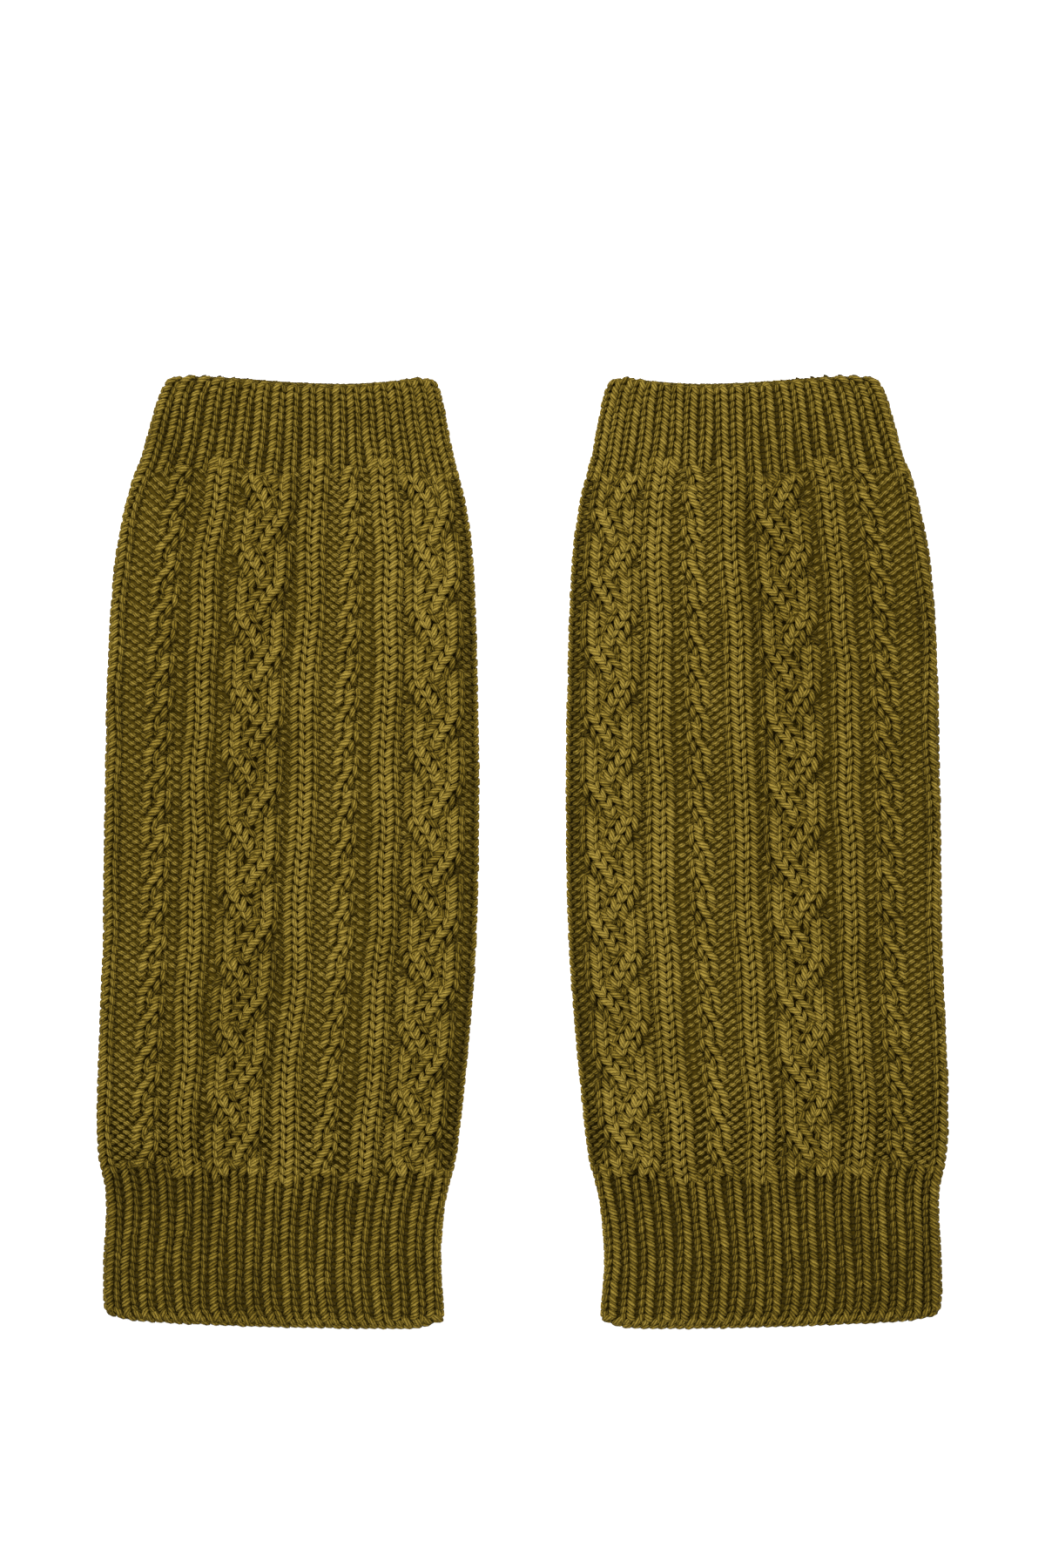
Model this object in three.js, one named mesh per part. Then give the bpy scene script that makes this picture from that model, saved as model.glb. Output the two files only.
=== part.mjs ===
// A pair of cable-knit leg warmers, laid flat side by side on a surface.
// Millimetres. X runs across the pair, Y from the foot to the top cuffs, Z up from the surface.
// Each leg warmer is a knitted tube pressed flat, so a back and a front lie on each other in its
// ribbed upper cuff, its cabled body and its ribbed lower cuff. The right one mirrors the left.
import * as THREE from 'three';

// Driving dimensions of one leg warmer
const LENGTH = 380;
const UPPER_CUFF = 38;
const LOWER_CUFF = 62.5;
const PIECE_GAP = 0.3;

// The wall: yarn of 2.8 mm knitted into a cloth about as thick
const BACK_THICKNESS = 3.0;
const FRONT_THICKNESS = 2.7;
const RIM = 1.1;
const SIDE_ROUND = 4.0;
const END_ROUND = 2.6;

// Stitch rows and the raised pattern
const STITCH_ROW = 3.4;
const TURN = 4 * STITCH_ROW;
const ROWS_PER_TURN = 3;
const RIB_RELIEF = 1.7;
const ROPE_RELIEF = 1.7;
const BRAID_RELIEF = 2.0;
const CROSSING_LIFT = 1.0;
const ROPE_STRAND = 5.7;
const BRAID_STRAND = 11.0;
const CUFF_RIBS = 19;
const CUFF_RELIEF = 1.5;
const CUFF_THINNER = 0.4;
const CAST_OFF = { width: 2.8, relief: 1.0 };
const BAGGY_FOLD = { along: 76, reach: 17, rise: 1.0 };

// Outline of one leg warmer laid flat. along: height above the foot. outer and inner: distance of
// its two sides from the middle of the pair. drift: how far the cables lean to the inner side.
const OUTLINE = [
  { along: 0, outer: 160.5, inner: 33.5, drift: -0.008 },
  { along: 3.5, outer: 164.4, inner: 31.2, drift: -0.008 },
  { along: 8, outer: 167.3, inner: 31.0, drift: -0.008 },
  { along: 26, outer: 167.7, inner: 32.2, drift: -0.008 },
  { along: 46, outer: 166.6, inner: 31.0, drift: -0.008 },
  { along: 57, outer: 167.2, inner: 28.9, drift: -0.008 },
  { along: 68, outer: 169.6, inner: 26.0, drift: -0.008 },
  { along: 84, outer: 170.4, inner: 24.1, drift: -0.009 },
  { along: 110, outer: 169.7, inner: 21.4, drift: -0.008 },
  { along: 151, outer: 168.1, inner: 18.2, drift: -0.005 },
  { along: 203, outer: 167.3, inner: 17.0, drift: 0 },
  { along: 266, outer: 165.9, inner: 17.7, drift: 0.012 },
  { along: 307, outer: 163.1, inner: 19.4, drift: 0.022 },
  { along: 328, outer: 158.9, inner: 22.2, drift: 0.028 },
  { along: 338, outer: 156.2, inner: 24.6, drift: 0.03 },
  { along: 349, outer: 152.0, inner: 27.4, drift: 0.03 },
  { along: 370, outer: 146.3, inner: 31.6, drift: 0.03 },
  { along: 377, outer: 142.9, inner: 34.2, drift: 0.03 },
  { along: 380, outer: 139.2, inner: 38.0, drift: 0.03 },
];

// The two open ends. across: 0 at the outer side, 1 at the inner side. foot: height of the lower
// edge. dip: how far the back's upper edge lies below the full length.
const ENDS = [
  { across: 0, foot: 5.6, dip: 1.2 },
  { across: 0.08, foot: 3.2, dip: 0 },
  { across: 0.25, foot: 1.8, dip: 0.7 },
  { across: 0.45, foot: 0.8, dip: 2.3 },
  { across: 0.65, foot: 0.2, dip: 2.9 },
  { across: 0.8, foot: 0, dip: 2.0 },
  { across: 0.94, foot: 0.4, dip: 1.0 },
  { across: 1, foot: 3.0, dip: 2.0 },
];
const FRONT_EXTRA_DIP = 1.5;

// The raised columns of the body, between grounds of purl stitches. from and to: across the width.
// turned: height of a crossing's start above the foot, for the cables.
const COLUMNS = [
  { kind: 'edge', from: 0, to: 0.04 },
  { kind: 'rope', from: 0.105, to: 0.177, turned: 307.0 },
  { kind: 'rib', from: 0.209, to: 0.285 },
  { kind: 'braid', from: 0.309, to: 0.459, turned: 285.3 },
  { kind: 'rib', from: 0.488, to: 0.566 },
  { kind: 'rope', from: 0.608, to: 0.672, turned: 307.0 },
  { kind: 'rib', from: 0.709, to: 0.786 },
  { kind: 'braid', from: 0.801, to: 0.952, turned: 287.0 },
  { kind: 'edge', from: 0.983, to: 1 },
];

// Where the surface is sampled: within each kind of column, within one rib of a cuff, across a
// plain back, and up to a rounded end in shares of its rounding
const SAMPLES = {
  edge: [0, 0.4, 1],
  rib: [0, 0.22, 0.78, 1],
  rope: [0, 0.25, 0.5, 0.75, 1],
  braid: [0, 0.125, 0.25, 0.375, 0.5, 0.625, 0.75, 0.875, 1],
  cuffRib: [0, 0.32, 0.68],
  back: [0, 0.009, 0.028, 0.5, 0.972, 0.991, 1],
  roundedEnd: [0, 0.2, 0.55, 1.1],
};
const BACK_ROWS = 14;
const CUFF_MIDDLE = 0.4;

// One strand's way through a plait, a move for each turn: it crosses over the middle from one
// side, goes on under the other side's strand and rests at the edge before it comes back.
const PLAIT_MOVES = [
  { from: -1, to: 0, lift: 1 },
  { from: 0, to: 1, lift: -1 },
  { from: 1, to: 1, lift: 0 },
  { from: 1, to: 0, lift: 1 },
  { from: 0, to: -1, lift: -1 },
  { from: -1, to: -1, lift: 0 },
];
const PLAIT_STRANDS = 3;
const ROPE_STRANDS = 2;
// A rope's strand stays at the side of the rope for a while before it crosses.
const ROPE_FLATTEN = 1.3;

const WOOL = { body: 0x66551f, cuffs: 0x5f4f1b, back: 0x54451a, roughness: 0.95, metalness: 0 };

const { clamp, euclideanModulo, lerp, smoothstep } = THREE.MathUtils;

// Reads a column of a table between its rows, with soft slopes through them.
function readTable(rows, key, column, at) {
  const last = rows.length - 1;
  let low = 0;
  while (low < last - 1 && rows[low + 1][key] < at) low += 1;
  const slope = (i) => {
    const a = rows[Math.max(i - 1, 0)];
    const b = rows[Math.min(i + 1, last)];
    return (b[column] - a[column]) / (b[key] - a[key]);
  };
  const [start, end] = [rows[low], rows[low + 1]];
  const span = end[key] - start[key];
  const t = clamp((at - start[key]) / span, 0, 1);
  const bulge = (t * t * t - 2 * t * t + t) * slope(low) + (t * t * t - t * t) * slope(low + 1);
  return lerp(start[column], end[column], t * t * (3 - 2 * t)) + bulge * span;
}

const outlineAt = (along, column) => readTable(OUTLINE, 'along', column, along);
const endAt = (across, column) => readTable(ENDS, 'across', column, across);

// Quarter of an ellipse: 0 on the rim, 1 from the reach inwards
function roundOver(distance, reach) {
  const left = 1 - clamp(distance / reach, 0, 1);
  return Math.sqrt(1 - left * left);
}

// A strand's cross-section: broad on top, falling away at its sides
function strandProfile(offset, halfWidth) {
  const t = clamp(Math.abs(offset) / halfWidth, 0, 1);
  return 1 - t ** 4;
}

function ropeStrands(turns) {
  return Array.from({ length: ROPE_STRANDS }, (_, strand) => {
    const angle = Math.PI * (turns + strand);
    const swing = clamp(-ROPE_FLATTEN * Math.cos(angle), -1, 1);
    return { swing, lift: Math.sin(angle) };
  });
}

// The plait is worked from the top down, so its turns count downwards.
function plaitStrands(turns) {
  const apart = PLAIT_MOVES.length / PLAIT_STRANDS;
  return Array.from({ length: PLAIT_STRANDS }, (_, strand) => {
    const step = euclideanModulo(turns + strand * apart, PLAIT_MOVES.length);
    const move = PLAIT_MOVES[Math.floor(step)];
    const part = step - Math.floor(step);
    const swing = lerp(move.from, move.to, smoothstep(part, 0, 1));
    return { swing, lift: move.lift * Math.sin(Math.PI * part) };
  });
}

// Height of a cable over the ground: the highest of its strands
function cableRelief(offset, halfWidth, strands, strandWidth, relief) {
  const half = strandWidth / 2;
  const heights = strands.map(({ swing, lift }) => {
    const centre = swing * (halfWidth - half);
    return (relief + CROSSING_LIFT * lift) * strandProfile(offset - centre, half);
  });
  return Math.max(0, ...heights);
}

// Height of the raised pattern at a place of the body's front
function bodyRelief(across, along) {
  const column = COLUMNS.find(({ from, to }) => across >= from && across <= to);
  if (!column) return 0;
  const width = outlineAt(along, 'outer') - outlineAt(along, 'inner');
  const halfWidth = ((column.to - column.from) * width) / 2;
  const offset = (across - (column.from + column.to) / 2) * width;
  if (column.kind === 'rope') {
    const strands = ropeStrands((along - column.turned) / TURN);
    return cableRelief(offset, halfWidth, strands, ROPE_STRAND, ROPE_RELIEF);
  }
  if (column.kind === 'braid') {
    const strands = plaitStrands((column.turned - along) / TURN);
    return cableRelief(offset, halfWidth, strands, BRAID_STRAND, BRAID_RELIEF);
  }
  return RIB_RELIEF * strandProfile(offset, halfWidth);
}

// The body bags out a little where it meets the lower cuff.
function bodyHeight(across, along) {
  const far = (along - BAGGY_FOLD.along) / BAGGY_FOLD.reach;
  return FRONT_THICKNESS + BAGGY_FOLD.rise * Math.exp(-far * far) + bodyRelief(across, along);
}

// A cuff's single ribs, which stop at the chain of the cast-off edge at the foot
function cuffHeight(across, along) {
  const inRib = euclideanModulo(across * CUFF_RIBS, 1) - 0.5;
  const fromFoot = along - endAt(across, 'foot');
  const overChain = smoothstep(fromFoot, CAST_OFF.width * 0.6, CAST_OFF.width * 1.3);
  const ribs = CUFF_RELIEF * strandProfile(inRib, 0.5) * overChain;
  const chain = fromFoot < CAST_OFF.width ? CAST_OFF.relief : 0;
  return FRONT_THICKNESS - CUFF_THINNER + Math.max(ribs, chain);
}

// The stretches of a leg warmer: where each starts and ends at a place across it
const seams = { low: LOWER_CUFF, high: LENGTH - UPPER_CUFF };
const backTop = (across) => LENGTH - endAt(across, 'dip');
const frontTop = (across) => backTop(across) - FRONT_EXTRA_DIP * Math.sin(Math.PI * across);
const foot = (across) => endAt(across, 'foot');
const beside = (seam, side) => () => seam + (side * PIECE_GAP) / 2;

// Shares of a stretch's length at which its rows lie
const evenly = (count) => Array.from({ length: count + 1 }, (_, i) => i / count);
const endRows = (length) => SAMPLES.roundedEnd.map((part) => (part * END_ROUND) / length);
const fromTheEnd = (shares) => shares.map((share) => 1 - share).reverse();

// Places across the body where its surface is sampled, worked out from the raised columns
function bodyAcross() {
  return COLUMNS.flatMap(({ kind, from, to }) =>
    SAMPLES[kind].map((part) => lerp(from, to, part)));
}

function cuffAcross() {
  const ribs = Array.from({ length: CUFF_RIBS }, (_, rib) =>
    SAMPLES.cuffRib.map((part) => (rib + part) / CUFF_RIBS));
  return [...ribs.flat(), 1];
}

// A plain back is sampled at its sides and middle, and at an open end wherever its edge turns.
const sorted = (places) => [...new Set(places)].sort((a, b) => a - b);
const cuffBackAcross = sorted([...SAMPLES.back, ...ENDS.map(({ across }) => across)]);
const bodyTurns = (seams.high - seams.low) / TURN;

// One panel: a plain flat face on a plane, a rim around it and the shaped face over it.
// side is 1 for a shaped face above the plane and -1 for one below it.
function panelGeometry({ plane, side, across, shares, start, end, height, roundStart, roundEnd }) {
  const points = [];
  const faces = [];
  const wide = across.length;
  const tall = shares.length;
  const addPoint = (x, y, z) => points.push(x, y, z) / 3 - 1;
  const addFace = (a, b, c) => faces.push(...(side > 0 ? [a, b, c] : [a, c, b]));

  const places = shares.map((share) => across.map((part) => {
    const [low, high] = [start(part), end(part)];
    const along = lerp(low, high, share);
    const [outer, inner] = [outlineAt(along, 'outer'), outlineAt(along, 'inner')];
    const spread = part + outlineAt(along, 'drift') * Math.sin(Math.PI * part);
    const fromSide = Math.min(part, 1 - part) * (outer - inner);
    const rounded = roundOver(fromSide, SIDE_ROUND)
      * (roundStart ? roundOver(along - low, END_ROUND) : 1)
      * (roundEnd ? roundOver(high - along, END_ROUND) : 1);
    const tallness = lerp(RIM, height(part, along), rounded);
    return { x: -lerp(outer, inner, spread), y: along - LENGTH / 2, tallness };
  }));

  const shaped = places.map((row) => row.map(({ x, y, tallness }) =>
    addPoint(x, y, plane + side * tallness)));

  // Each square is split along its more level diagonal, so that strands keep their lines.
  for (let j = 0; j + 1 < tall; j += 1) {
    for (let i = 0; i + 1 < wide; i += 1) {
      const [a, b, c, d] = [shaped[j][i], shaped[j][i + 1], shaped[j + 1][i + 1], shaped[j + 1][i]];
      const rising = Math.abs(places[j][i].tallness - places[j + 1][i + 1].tallness);
      const falling = Math.abs(places[j][i + 1].tallness - places[j + 1][i].tallness);
      if (rising <= falling) {
        addFace(a, b, c);
        addFace(a, c, d);
      } else {
        addFace(a, b, d);
        addFace(b, c, d);
      }
    }
  }

  // The border, once around: along the start, up the inner side, back along the end and down
  const border = [];
  for (let i = 0; i + 1 < wide; i += 1) border.push([0, i]);
  for (let j = 0; j + 1 < tall; j += 1) border.push([j, wide - 1]);
  for (let i = wide - 1; i > 0; i -= 1) border.push([tall - 1, i]);
  for (let j = tall - 1; j > 0; j -= 1) border.push([j, 0]);
  const flat = border.map(([j, i]) => addPoint(places[j][i].x, places[j][i].y, plane));
  border.forEach(([j, i], k) => {
    const next = (k + 1) % border.length;
    const [nj, ni] = border[next];
    addFace(flat[k], flat[next], shaped[nj][ni]);
    addFace(flat[k], shaped[nj][ni], shaped[j][i]);
  });

  const contour = border.map(([j, i]) => new THREE.Vector2(places[j][i].x, places[j][i].y));
  for (const [a, b, c] of THREE.ShapeUtils.triangulateShape(contour, [])) {
    addFace(flat[a], flat[c], flat[b]);
  }

  const geometry = new THREE.BufferGeometry();
  geometry.setAttribute('position', new THREE.Float32BufferAttribute(points, 3));
  geometry.setIndex(faces);
  geometry.computeVertexNormals();
  return geometry;
}

// Each stretch of the tube, from the foot up
const STRETCHES = [
  {
    name: 'lower_cuff',
    start: foot,
    end: { back: beside(seams.low, -1), front: beside(seams.low, -1) },
    shares: [...endRows(LOWER_CUFF), CUFF_MIDDLE, 1],
    across: { back: cuffBackAcross, front: cuffAcross() },
    height: cuffHeight,
    roundStart: true,
  },
  {
    name: 'body',
    start: beside(seams.low, 1),
    end: { back: beside(seams.high, -1), front: beside(seams.high, -1) },
    shares: evenly(Math.round(bodyTurns * ROWS_PER_TURN)),
    backShares: evenly(BACK_ROWS),
    across: { back: SAMPLES.back, front: bodyAcross() },
    height: bodyHeight,
  },
  {
    name: 'upper_cuff',
    start: beside(seams.high, 1),
    end: { back: backTop, front: frontTop },
    shares: [0, CUFF_MIDDLE, ...fromTheEnd(endRows(UPPER_CUFF))],
    across: { back: cuffBackAcross, front: cuffAcross() },
    height: cuffHeight,
    roundEnd: true,
  },
];

function woolMesh(name, geometry, color) {
  const { roughness, metalness } = WOOL;
  const mesh = new THREE.Mesh(
    geometry,
    new THREE.MeshStandardMaterial({ color, roughness, metalness }),
  );
  mesh.name = name;
  return mesh;
}

// One leg warmer on the left of the pair, its back flat on the surface and its front on the back
function legWarmer(side) {
  const legGroup = new THREE.Group();
  for (const stretch of STRETCHES) {
    const back = panelGeometry({
      ...stretch,
      plane: BACK_THICKNESS,
      side: -1,
      across: stretch.across.back,
      end: stretch.end.back,
      shares: stretch.backShares ?? stretch.shares,
      height: () => BACK_THICKNESS,
    });
    const front = panelGeometry({
      ...stretch,
      plane: BACK_THICKNESS + PIECE_GAP,
      side: 1,
      across: stretch.across.front,
      end: stretch.end.front,
    });
    const frontColor = stretch.name === 'body' ? WOOL.body : WOOL.cuffs;
    legGroup.add(woolMesh(`${side}_${stretch.name}_back`, back, WOOL.back));
    legGroup.add(woolMesh(`${side}_${stretch.name}_front`, front, frontColor));
  }
  return legGroup;
}

const pair = new THREE.Group();
pair.name = 'leg_warmers';
const rightLeg = legWarmer('right');
rightLeg.scale.x = -1;
pair.add(legWarmer('left'), rightLeg);

export default pair;
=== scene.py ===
"""A pair of cable-knit leg warmers, laid flat side by side and seen from straight above.

Every stitch that shows is made of lengths of yarn: two legs for a knit stitch and one or two bumps
for a purl one, laid on the form of the tube along the columns, ropes and plaits of the pattern.
Lengths in the tables are millimetres; meshes are in metres. Both leg warmers come from the same
tables, as the left one, and the right one's points are mirrored.
"""

import math

import bpy
import numpy as np
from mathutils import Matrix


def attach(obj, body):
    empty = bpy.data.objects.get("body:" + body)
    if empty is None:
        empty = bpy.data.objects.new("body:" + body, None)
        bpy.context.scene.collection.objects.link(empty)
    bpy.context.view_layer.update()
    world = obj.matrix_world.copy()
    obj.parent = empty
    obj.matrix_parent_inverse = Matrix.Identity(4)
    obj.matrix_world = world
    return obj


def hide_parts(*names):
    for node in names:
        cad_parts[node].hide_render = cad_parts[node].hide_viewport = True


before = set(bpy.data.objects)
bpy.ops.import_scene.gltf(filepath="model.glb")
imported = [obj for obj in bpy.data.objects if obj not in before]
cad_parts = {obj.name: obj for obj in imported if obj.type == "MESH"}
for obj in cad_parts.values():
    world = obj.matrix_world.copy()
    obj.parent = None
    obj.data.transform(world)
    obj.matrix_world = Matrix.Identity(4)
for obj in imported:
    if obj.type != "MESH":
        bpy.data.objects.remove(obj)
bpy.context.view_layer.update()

# A millimetre in metres, and each leg warmer's seed for the unevenness of its yarn
MM = 0.001
SEEDS = {"left": 17, "right": 41}

# Small steps that give a line's direction: along it in millimetres, and across as a share of the width
STEP_ALONG = 0.05
STEP_ACROSS = 0.002

# Driving dimensions of one leg warmer, as in its solids: its length, its two cuffs, the height of its
# middle plane, how far its side folds are rounded and how far they draw in
LENGTH = 380.0
UPPER_CUFF = 38.0
LOWER_CUFF = 62.5
MIDDLE = 3.15
SIDE_ROUND = 4.4
SIDE_INSET = 1.1

# Stitches: the height of a row and of a cable's crossing, and how far each yarn's centre lies from the
# tube's middle plane. On the back a cable rises only BACK_FLATTEN times as far.
BODY_ROW = 3.4
UPPER_ROW = 2.7
LOWER_ROW = 2.87
TURN = 4 * BODY_ROW
FRONT_LEVEL = {"purl": 2.1, "rib": 3.1, "rope": 3.3, "braid": 3.7, "edge": 2.7, "cuff": 2.8}
BACK_LEVEL = {"purl": 1.3, "rib": 1.9, "rope": 1.9, "braid": 1.9, "edge": 1.9, "cuff": 1.9}
BACK_FLATTEN = 0.35

# The cuffs. scale: the size of their stitches. shade: how much painted shade darkens their ribs.
# seam: how much painted shadow darkens their valleys at the seam, under the body's edge.
CUFF_RIBS = 19
CUFFS = (
    {"upper": False, "row": LOWER_ROW, "scale": 1.14, "shade": 0.55, "seam": 1.2},
    {"upper": True, "row": UPPER_ROW, "scale": 1.02, "shade": 0.15, "seam": 0.0},
)

# The front's slack over the lower cuff: its height above the foot, its reach and its rise
BAGGY_FOLD = {"along": 76.0, "reach": 17.0, "rise": 1.0}

# Outline of one leg warmer laid flat. along: height above the foot. outer and inner: distance of its
# two sides from the middle of the pair. drift: how far the cables lean to the inner side.
OUTLINE = [
    {"along": 0, "outer": 160.5, "inner": 33.5, "drift": -0.008},
    {"along": 3.5, "outer": 164.4, "inner": 31.2, "drift": -0.008},
    {"along": 8, "outer": 167.3, "inner": 31.0, "drift": -0.008},
    {"along": 26, "outer": 167.7, "inner": 32.2, "drift": -0.008},
    {"along": 46, "outer": 166.6, "inner": 31.0, "drift": -0.008},
    {"along": 57, "outer": 167.2, "inner": 28.9, "drift": -0.008},
    {"along": 68, "outer": 169.6, "inner": 26.0, "drift": -0.008},
    {"along": 84, "outer": 170.4, "inner": 24.1, "drift": -0.009},
    {"along": 110, "outer": 169.7, "inner": 21.4, "drift": -0.008},
    {"along": 151, "outer": 168.1, "inner": 18.2, "drift": -0.005},
    {"along": 203, "outer": 167.3, "inner": 17.0, "drift": 0},
    {"along": 266, "outer": 165.9, "inner": 17.7, "drift": 0.012},
    {"along": 307, "outer": 163.1, "inner": 19.4, "drift": 0.022},
    {"along": 328, "outer": 158.9, "inner": 22.2, "drift": 0.028},
    {"along": 338, "outer": 156.2, "inner": 24.6, "drift": 0.03},
    {"along": 349, "outer": 152.0, "inner": 27.4, "drift": 0.03},
    {"along": 370, "outer": 146.3, "inner": 31.6, "drift": 0.03},
    {"along": 377, "outer": 142.9, "inner": 34.2, "drift": 0.03},
    {"along": 380, "outer": 139.2, "inner": 38.0, "drift": 0.03},
]

# The two open ends. across: 0 at the outer side, 1 at the inner side. foot: height of the lower edge.
# dip: how far the back's upper edge lies below the full length. The front's lies lower in the middle.
ENDS = [
    {"across": 0, "foot": 5.6, "dip": 1.2},
    {"across": 0.08, "foot": 3.2, "dip": 0},
    {"across": 0.25, "foot": 1.8, "dip": 0.7},
    {"across": 0.45, "foot": 0.8, "dip": 2.3},
    {"across": 0.65, "foot": 0.2, "dip": 2.9},
    {"across": 0.8, "foot": 0, "dip": 2.0},
    {"across": 0.94, "foot": 0.4, "dip": 1.0},
    {"across": 1, "foot": 3.0, "dip": 2.0},
]
FRONT_EXTRA_DIP = 1.5

# How far the seams between the body and the two cuffs lie above their mean height, across the width.
# The body's columns lap over the cuffs by SEAM_LAP.
SEAMS = [
    {"across": 0, "lower": 0, "upper": 0},
    {"across": 0.15, "lower": 3.5, "upper": -1},
    {"across": 0.25, "lower": 1, "upper": 2.5},
    {"across": 0.38, "lower": 1.5, "upper": -4},
    {"across": 0.44, "lower": 4.5, "upper": -3},
    {"across": 0.53, "lower": -3, "upper": 2.5},
    {"across": 0.64, "lower": -1, "upper": -1.5},
    {"across": 0.74, "lower": -3.5, "upper": 2.5},
    {"across": 0.88, "lower": -1, "upper": -5},
    {"across": 1, "lower": 0, "upper": 0},
]
SEAM_LAP = 1.5

# The raised columns of the body. from and to: across the width. turned: height of a crossing's start
# above the foot, for the cables.
COLUMNS = [
    {"kind": "edge", "from": 0, "to": 0.04},
    {"kind": "rope", "from": 0.105, "to": 0.177, "turned": 307.0},
    {"kind": "rib", "from": 0.209, "to": 0.285},
    {"kind": "braid", "from": 0.308, "to": 0.470, "turned": 285.3},
    {"kind": "rib", "from": 0.488, "to": 0.566},
    {"kind": "rope", "from": 0.608, "to": 0.672, "turned": 307.0},
    {"kind": "rib", "from": 0.709, "to": 0.786},
    {"kind": "braid", "from": 0.798, "to": 0.956, "turned": 287.0},
]

# One strand's way through a plait, a move for each turn: it crosses over the middle from one side,
# goes on under the other side's strand and rests at the edge before it comes back.
PLAIT_MOVES = [
    {"from": -1, "to": 0},
    {"from": 0, "to": 1},
    {"from": 1, "to": 1},
    {"from": 1, "to": 0},
    {"from": 0, "to": -1},
    {"from": -1, "to": -1},
]

# Its height on that way, from 1 on top to -1 underneath, by turns from the start of a crossing
PLAIT_LIFTS = [
    {"turn": 0, "lift": 0},
    {"turn": 0.35, "lift": 0.9},
    {"turn": 0.8, "lift": 0.9},
    {"turn": 1.1, "lift": 0},
    {"turn": 1.4, "lift": -1},
    {"turn": 1.9, "lift": -0.3},
    {"turn": 2.2, "lift": 0},
    {"turn": 3, "lift": 0},
]
PLAIT_STRANDS = 3

# A rope's strands, and how much longer they stay at its edges than in an even twist
ROPE_STRANDS = 2
ROPE_FLATTEN = 1.3

# Ropes and plaits. half: half a strand's width. columns: its stitch columns, from its middle line.
# over and under: how far it rises and falls where strands cross. near: how close to another strand's
# top a stitch starts to get painted shade. light and dark: painted light that brightens a strand on
# top, and painted shade that darkens it underneath. stitch: its knit stitches, as leg_run takes them.
CABLES = {
    "rope": {"half": 2.7, "columns": (0.0,), "over": 1.3, "under": 2.2, "near": 1.2,
             "light": 0.0, "dark": 0.0,
             "stitch": {"crown": (2.8, 0.5, 0.6), "scale": 1.18, "follow": (0.45, 1.0)}},
    "braid": {"half": 4.8, "columns": (-2.4, 2.4), "over": 1.5, "under": 2.2, "near": 1.0,
              "light": 0.1, "dark": 2.2,
              "stitch": {"crown": (5.0, 0.8, 0.5), "scale": 1.08, "reach": 1.08, "follow": (0.8, 0.8)}},
}

# A strand's rounded top: its height, and how steeply it falls past its edge. A stitch further than
# HIDDEN under another strand's top is left out, and the others there are shaded.
DOME = 1.6
DOME_EDGE = 6.0
HIDDEN = 0.9
COVER_SHADE = 1.1
COVER_POWER = 1.5

# Shade, as a depth under the crest: a cuff's valleys and how far the seam's shade reaches into them,
# a yarn's own roundness, the purl columns nearest to a raised one, the other purl columns, and the
# purl strip at the inner side
VALLEY_SHADE = 2.8
SEAM_REACH = 4.0
SELF_SHADE = 0.75
GROOVE_SHADE = (1.2, 0.3)
PURL_SHADE = 0.05
INNER_STRIP_SHADE = 0.7

# Painted shade: how much darker the outer side is than the middle, as if less light fell there, and
# the middle's place and half width
OUTER_PAINTED_SHADE = {"amount": 0.2, "middle": 93.0, "half": 70.0}

# Ribs: the distance between a body rib's two columns, its stitches, how the others round off, as
# leg_run's crown, and how steeply a cuff's stitches lean
RIB_COLUMN = 5.65
RIB_STITCH = {"crown": (5.6, 0.6, 0.2), "scale": 1.07}
EDGE_CROWN = (3.0, 0.5, 0.4)
CUFF_CROWN = (2.4, 0.5, 0.3)
FOLD_CROWN = (3.0, 1.2, 0.3)
CUFF_LEAN = 0.78

# A column's sideways waver: its size as a share of the width, and its waves, with the range of each
# one's size, length and start
BODY_WAVER = 0.0028
CUFF_WAVER = 0.002
WAVES = {"count": 3, "size": (0.4, 1), "length": (25, 90), "start": (0, 6.3)}

# How far stitches stop from the foot's and the top's edge, how many rows a cuff's ribs run over the
# seam, how deep its valleys lie under its ribs on the front, 1, and the back, -1, and their bumps' size
RIB_ENDS = {"foot": 2.8, "top": 0.7}
VALLEY_ENDS = {"foot": 2.4, "top": 1.5}
FOLD_ENDS = {"foot": 1.5, "top": 0.5}
RAGGED_ROWS = (-0.6, 0.9)
VALLEY_DROP = {1: 0.9, -1: 0.6}
VALLEY_BUMP = 0.8

# The two legs of a knit stitch. foot and head: distance from the column's middle line at its lower
# and upper end. wide and high: half the yarn's width and depth. reach: half its length in rows.
# head_sink: how far the upper end lies under the stitch above it, and foot_sink the lower end. rise:
# how far it stands out. LEG_CREST is its highest place, as in the rings below. RIM_LIMIT is how far out
# a rounded form goes on dropping, in its half widths.
FAT_LEG = {"foot": -2.35, "head": 0.55, "wide": 1.22, "high": 1.2, "reach": 0.64,
           "head_sink": 1.3, "foot_sink": 0.6, "rise": 0.1}
THIN_LEG = {"foot": 2.75, "head": 0.8, "wide": 1.02, "high": 1.05, "reach": 0.62,
            "head_sink": 1.8, "foot_sink": 1.1, "rise": -0.15}
LEG_CREST = 0.45
RIM_LIMIT = 1.2

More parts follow.
